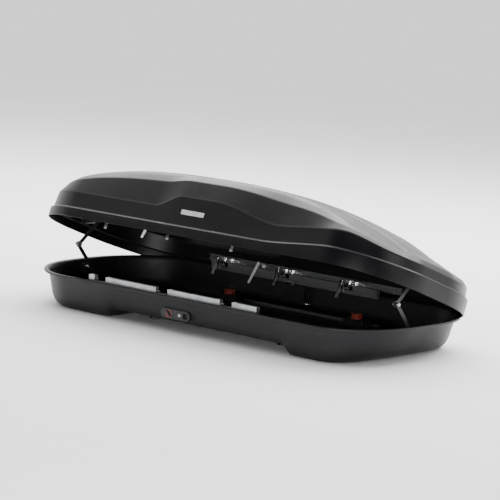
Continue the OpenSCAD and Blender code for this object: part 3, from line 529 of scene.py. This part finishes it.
def ranged(tree, value, low, high, from_low=0.3, from_high=0.7):
    """The value moved from one range to another, clamped."""
    node = add_node(tree, "ShaderNodeMapRange", {
        "From Min": from_low, "From Max": from_high, "To Min": low, "To Max": high})
    tree.links.new(value, node.inputs["Value"])
    return node.outputs["Result"]


def blended(tree, factor, first, second):
    """Colour between two colours, each a tuple or a socket."""
    node = add_node(tree, "ShaderNodeMix", data_type="RGBA")
    for socket, colour in ((node.inputs[6], first), (node.inputs[7], second)):
        if isinstance(colour, tuple):
            socket.default_value = (*colour, 1)
        else:
            tree.links.new(colour, socket)
    tree.links.new(factor, node.inputs[0])
    return node.outputs[2]


def product(tree, first, second):
    """First times second, each a float or a socket."""
    node = add_node(tree, "ShaderNodeMath", operation="MULTIPLY")
    for socket, value in zip(node.inputs, (first, second)):
        if isinstance(value, float):
            socket.default_value = value
        else:
            tree.links.new(value, socket)
    return node.outputs[0]


def edge_mask(tree, radius):
    """1 on sharp edges of the piece and 0 on its faces."""
    bevel = add_node(tree, "ShaderNodeBevel", {"Radius": radius}, samples=4)
    geometry = add_node(tree, "ShaderNodeNewGeometry")
    turned = add_node(tree, "ShaderNodeVectorMath", operation="DOT_PRODUCT")
    tree.links.new(bevel.outputs["Normal"], turned.inputs[0])
    tree.links.new(geometry.outputs["Normal"], turned.inputs[1])
    return ranged(tree, turned.outputs["Value"], 1.0, 0.0, from_low=0.86, from_high=0.995)


def bumped(tree, shader, layers):
    """Stacks (height socket, depth in metres) layers into one bump for the shader."""
    below = None
    for height, depth in layers:
        bump = add_node(tree, "ShaderNodeBump", {"Strength": 1.0, "Distance": depth})
        tree.links.new(height, bump.inputs["Height"])
        if below is not None:
            tree.links.new(below, bump.inputs["Normal"])
        below = bump.outputs["Normal"]
    tree.links.new(below, shader.inputs["Normal"])


def start_finish(name):
    """New material, with its tree, its shader and the object coordinates its textures use."""
    material = bpy.data.materials.new(name)
    material.use_nodes = True
    tree = material.node_tree
    place = add_node(tree, "ShaderNodeTexCoord").outputs["Object"]
    return material, tree, tree.nodes["Principled BSDF"], place


def plastic(name, colour, worn, roughness, grain, depth, specular=0.5, wear=0.5, edge=0.0012):
    """Moulded plastic: pebbled grain, cloudy sheen, faint rub marks and lighter worn edges."""
    material, tree, shader, place = start_finish(name)
    pebbles = add_node(tree, "ShaderNodeTexVoronoi", {"Scale": 1 / grain, "Smoothness": 0.6},
                       feature="SMOOTH_F1")
    tree.links.new(place, pebbles.inputs["Vector"])
    fine = noise(tree, place, 2.2 / grain, detail=4.0)
    clouds = noise(tree, place, 9.0, detail=5.0)
    waves = noise(tree, place, 3.0, detail=1.0)
    rubs = noise(tree, place, 55.0, detail=4.0, roughness=0.65, stretch=(0.12, 1, 1))

    darker = tuple(channel * 0.80 for channel in colour)
    base = blended(tree, ranged(tree, clouds, 0.0, 1.0), darker, colour)
    rub_mask = ranged(tree, rubs, 0.0, 0.30, from_low=0.58, from_high=0.75)
    rubbed = blended(tree, rub_mask, base, worn)
    broken = ranged(tree, fine, 0.25, 1.0, from_low=0.35, from_high=0.65)
    edges = product(tree, product(tree, edge_mask(tree, edge), broken), float(wear))
    tree.links.new(blended(tree, edges, rubbed, worn), shader.inputs["Base Color"])

    patchy = ranged(tree, clouds, roughness - 0.05, roughness + 0.07)
    tree.links.new(patchy, shader.inputs["Roughness"])
    shader.inputs["Specular IOR Level"].default_value = specular
    bumped(tree, shader, (
        (waves, 0.0012),
        (pebbles.outputs["Distance"], depth),
        (fine, depth * 0.4)))
    return material


def metal(name, colour, worn, roughness, stretch, streak=700.0, depth=0.00003, tarnish=0.75):
    """Drawn, rolled or turned metal: fine lines along the work, dull smudges, bright edges."""
    material, tree, shader, place = start_finish(name)
    lines = noise(tree, place, streak, detail=4.0, stretch=stretch)
    smudges = noise(tree, place, 22.0, detail=5.0, roughness=0.6)
    specks = noise(tree, place, 420.0, detail=2.0)
    dull = tuple(channel * tarnish for channel in colour)
    base = blended(tree, ranged(tree, smudges, 0.0, 1.0), dull, colour)
    lined = blended(tree, ranged(tree, lines, 0.0, 0.35), base, dull)
    speckled = blended(tree, ranged(tree, specks, 0.0, 0.5, from_low=0.66, from_high=0.76), lined, dull)
    edges = product(tree, edge_mask(tree, 0.0009), 0.7)
    tree.links.new(blended(tree, edges, speckled, worn), shader.inputs["Base Color"])
    shader.inputs["Metallic"].default_value = 1.0
    tree.links.new(ranged(tree, smudges, roughness + 0.10, roughness - 0.05), shader.inputs["Roughness"])
    bumped(tree, shader, ((specks, depth), (lines, depth)))
    return material


def coating(name, colour, worn, roughness):
    """Powder coat: orange peel, dusty clouds and chipped bright edges."""
    material, tree, shader, place = start_finish(name)
    peel = noise(tree, place, 900.0, detail=1.0)
    clouds = noise(tree, place, 40.0, detail=4.0)
    chips = noise(tree, place, 260.0, detail=3.0, roughness=0.7)
    dusty = tuple(channel * 1.5 + 0.004 for channel in colour)
    base = blended(tree, ranged(tree, clouds, 0.0, 0.6), colour, dusty)
    edges = edge_mask(tree, 0.0011)
    chipped = product(tree, edges, ranged(tree, chips, 0.0, 1.0, from_low=0.45, from_high=0.55))
    tree.links.new(blended(tree, chipped, base, worn), shader.inputs["Base Color"])
    tree.links.new(product(tree, chipped, 0.9), shader.inputs["Metallic"])
    tree.links.new(ranged(tree, clouds, roughness - 0.06, roughness + 0.08), shader.inputs["Roughness"])
    bumped(tree, shader, ((peel, 0.00012),))
    return material


LENGTHWISE = (0.02, 1, 1)            # lines of extruded and rolled parts run along X
TURNED = (1, 1, 1)                   # cast, turned and plated parts have no direction

FINISHES = {
    "lid_plastic": plastic("lid_plastic", (0.0034, 0.0033, 0.0044), (0.017, 0.017, 0.020), 0.31,
                           grain=0.0024, depth=0.00010, specular=0.20, wear=0.35, edge=0.0020),
    "tray_plastic": plastic("tray_plastic", (0.0075, 0.0075, 0.0088), (0.034, 0.034, 0.037), 0.44,
                            grain=0.0020, depth=0.00012, specular=0.32, wear=0.40, edge=0.0020),
    "black_plastic": plastic("black_plastic", (0.010, 0.010, 0.011), (0.075, 0.075, 0.078), 0.42,
                             grain=0.0011, depth=0.00006),
    "red_plastic": plastic("red_plastic", (0.330, 0.040, 0.026), (0.560, 0.170, 0.130), 0.38,
                           grain=0.0011, depth=0.00005),
    "white_plastic": plastic("white_plastic", (0.780, 0.780, 0.760), (0.560, 0.550, 0.520), 0.40,
                             grain=0.0012, depth=0.00004),
    "badge_grey": plastic("badge_grey", (0.520, 0.525, 0.530), (0.300, 0.300, 0.305), 0.30,
                          grain=0.0009, depth=0.00002),
    "pad_rubber": plastic("pad_rubber", (0.012, 0.012, 0.012), (0.045, 0.045, 0.044), 0.78,
                          grain=0.0014, depth=0.00012, specular=0.3),
    "aluminium": metal("aluminium", (0.430, 0.437, 0.447), (0.700, 0.705, 0.710), 0.36, LENGTHWISE),
    "bright_steel": metal("bright_steel", (0.800, 0.795, 0.780), (0.950, 0.945, 0.930), 0.22, LENGTHWISE,
                          tarnish=0.85),
    "zinc_steel": metal("zinc_steel", (0.560, 0.565, 0.570), (0.760, 0.765, 0.770), 0.36, TURNED,
                        streak=160.0),
    "coated_steel": coating("coated_steel", (0.090, 0.092, 0.096), (0.500, 0.500, 0.500), 0.46),
    "black_steel": coating("black_steel", (0.012, 0.012, 0.013), (0.420, 0.420, 0.420), 0.40),
}


def soften(piece):
    """Joins the mesh's split corners and gives its sharp edges a small catch-light."""
    weld = piece.modifiers.new("weld", "WELD")
    weld.merge_threshold = 0.00001
    bevel = piece.modifiers.new("edge", "BEVEL")
    bevel.width = 0.0005
    bevel.segments = 2
    bevel.limit_method = "ANGLE"
    bevel.angle_limit = math.radians(35)
    bevel.use_clamp_overlap = True
    normals = piece.modifiers.new("normals", "WEIGHTED_NORMAL")
    normals.keep_sharp = True


def dress_frame_nodes():
    """Puts each CAD node's finish in its material slot and softens its edges."""
    slots = {part["node"]: part["material_slot"] for part in frame["record"]["subparts"]}
    for name, piece in frame["nodes"].items():
        finish = FINISHES[slots[name]]
        piece.data.materials.clear()
        piece.data.materials.append(finish)
        if name not in ("base_shell", "lid_shell"):
            soften(piece)


# ---------- Stage, light and camera ----------

FLOOR_Z = tray_low.z                 # the pods stand on the floor
FLOOR_HALF = 40.0                    # half the width of the floor
AWAY_FROM_CAMERA = (-0.62, 0.78, 0.0)   # level direction in which the room is bright
SKY = (1.6, 1.6, 1.62)               # colour of the room's ceiling
ROOM_STRENGTH = 1.9


def build_floor():
    """Wide pale sheet with a faint texture."""
    mesh = bpy.data.meshes.new("stage_floor")
    turns = ((-1, -1), (1, -1), (1, 1), (-1, 1))
    corners = [(x * FLOOR_HALF, y * FLOOR_HALF, FLOOR_Z) for x, y in turns]
    mesh.from_pydata(corners, [], [(0, 1, 2, 3)])
    material, tree, shader, place = start_finish("stage_floor")
    cloud = noise(tree, place, 1.5, detail=4.0)
    grit = noise(tree, place, 300.0, detail=2.0)
    tone = blended(tree, ranged(tree, cloud, 0.0, 1.0), (0.93, 0.93, 0.93), (0.96, 0.96, 0.96))
    tree.links.new(tone, shader.inputs["Base Color"])
    shader.inputs["Roughness"].default_value = 0.9
    shader.inputs["Specular IOR Level"].default_value = 0.1
    bumped(tree, shader, ((grit, 0.0001),))
    mesh.materials.append(material)
    floor = bpy.data.objects.new("stage_floor", mesh)
    bpy.context.scene.collection.objects.link(floor)
    floor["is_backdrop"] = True


def build_world():
    """Soft studio room: bright overhead and behind the box, dimmer on the camera's side."""
    world = bpy.data.worlds.new("studio")
    world.use_nodes = True
    tree = world.node_tree
    background = tree.nodes["Background"]
    direction = add_node(tree, "ShaderNodeTexCoord").outputs["Generated"]
    split = add_node(tree, "ShaderNodeSeparateXYZ")
    tree.links.new(direction, split.inputs[0])
    along_view = add_node(tree, "ShaderNodeVectorMath", operation="DOT_PRODUCT")
    along_view.inputs[1].default_value = AWAY_FROM_CAMERA
    tree.links.new(direction, along_view.inputs[0])
    behind = ranged(tree, along_view.outputs["Value"], 0.10, 1.25, from_low=-0.20, from_high=0.40)
    room = blended(tree, behind, (0.0, 0.0, 0.0), (1.0, 1.0, 1.0))
    above = ranged(tree, split.outputs["Z"], 0.0, 1.0, from_low=0.86, from_high=0.98)
    tree.links.new(blended(tree, above, room, SKY), background.inputs["Color"])
    background.inputs["Strength"].default_value = ROOM_STRENGTH
    bpy.context.scene.world = world


# Name, place, point it faces, size and power in watts.
LIGHTS = (
    ("overhead", (-1.0, 3.0, 4.2), (-0.2, 1.0, 0.2), (9.0, 4.0), 950),
    ("nose_side", (6.0, 1.0, 2.2), (0.4, 0, 0.2), (2.0, 2.0), 60),
    ("low_fill", (3.6, -5.0, 0.75), (0.1, 0.2, 0.15), (3.5, 0.9), 170))


def area_light(name, place, target, size, power):
    """Rectangular light that faces its target."""
    light = bpy.data.lights.new(name, "AREA")
    light.shape = "RECTANGLE"
    light.size, light.size_y = size
    light.energy = power
    lamp = bpy.data.objects.new(name, light)
    lamp.location = place
    lamp.rotation_euler = (Vector(target) - Vector(place)).to_track_quat("-Z", "Y").to_euler()
    bpy.context.scene.collection.objects.link(lamp)


CAMERA_PLACE = Vector((7.947, -9.069, 2.088))   # fitted place of the photo's camera
CAMERA_LEAN = math.radians(3.0)      # how far upright edges lean to the right
CAMERA_LENS = 196.0                  # millimetres, so that the box fills the frame


def build_camera():
    """Camera that faces the middle of the box, with its upright edges leaning a little."""
    low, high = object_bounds()
    forward = ((low + high) / 2 - CAMERA_PLACE).normalized()
    level_right = forward.cross(Vector((0, 0, 1))).normalized()
    level_up = level_right.cross(forward)
    right = math.cos(CAMERA_LEAN) * level_right + math.sin(CAMERA_LEAN) * level_up
    up = -math.sin(CAMERA_LEAN) * level_right + math.cos(CAMERA_LEAN) * level_up
    data = bpy.data.cameras.new("camera")
    data.lens = CAMERA_LENS
    data.clip_end = 200.0
    camera = bpy.data.objects.new("camera", data)
    turn = Matrix((right, up, -forward)).transposed().to_4x4()
    camera.matrix_world = Matrix.Translation(CAMERA_PLACE) @ turn
    bpy.context.scene.collection.objects.link(camera)
    bpy.context.scene.camera = camera


dress_frame_nodes()

lid_skin = build_lid()
lid_skin.data.materials.append(FINISHES["lid_plastic"])
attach(lid_skin, "lid")
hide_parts("lid_shell")

tray_skin = build_tray()
bezels = [oval_cutter(f"{side}_lock_bezel") for side in ("near", "far")]
slots = [slot_cutter(f"clamp_{i}_jaw") for i in range(1, 5)]
cut(tray_skin, bezels + slots)
tray_skin.data.materials.clear()
tray_skin.data.materials.append(FINISHES["tray_plastic"])
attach(tray_skin, "tray")
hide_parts("base_shell")

build_floor()
build_world()
for light in LIGHTS:
    area_light(*light)
build_camera()
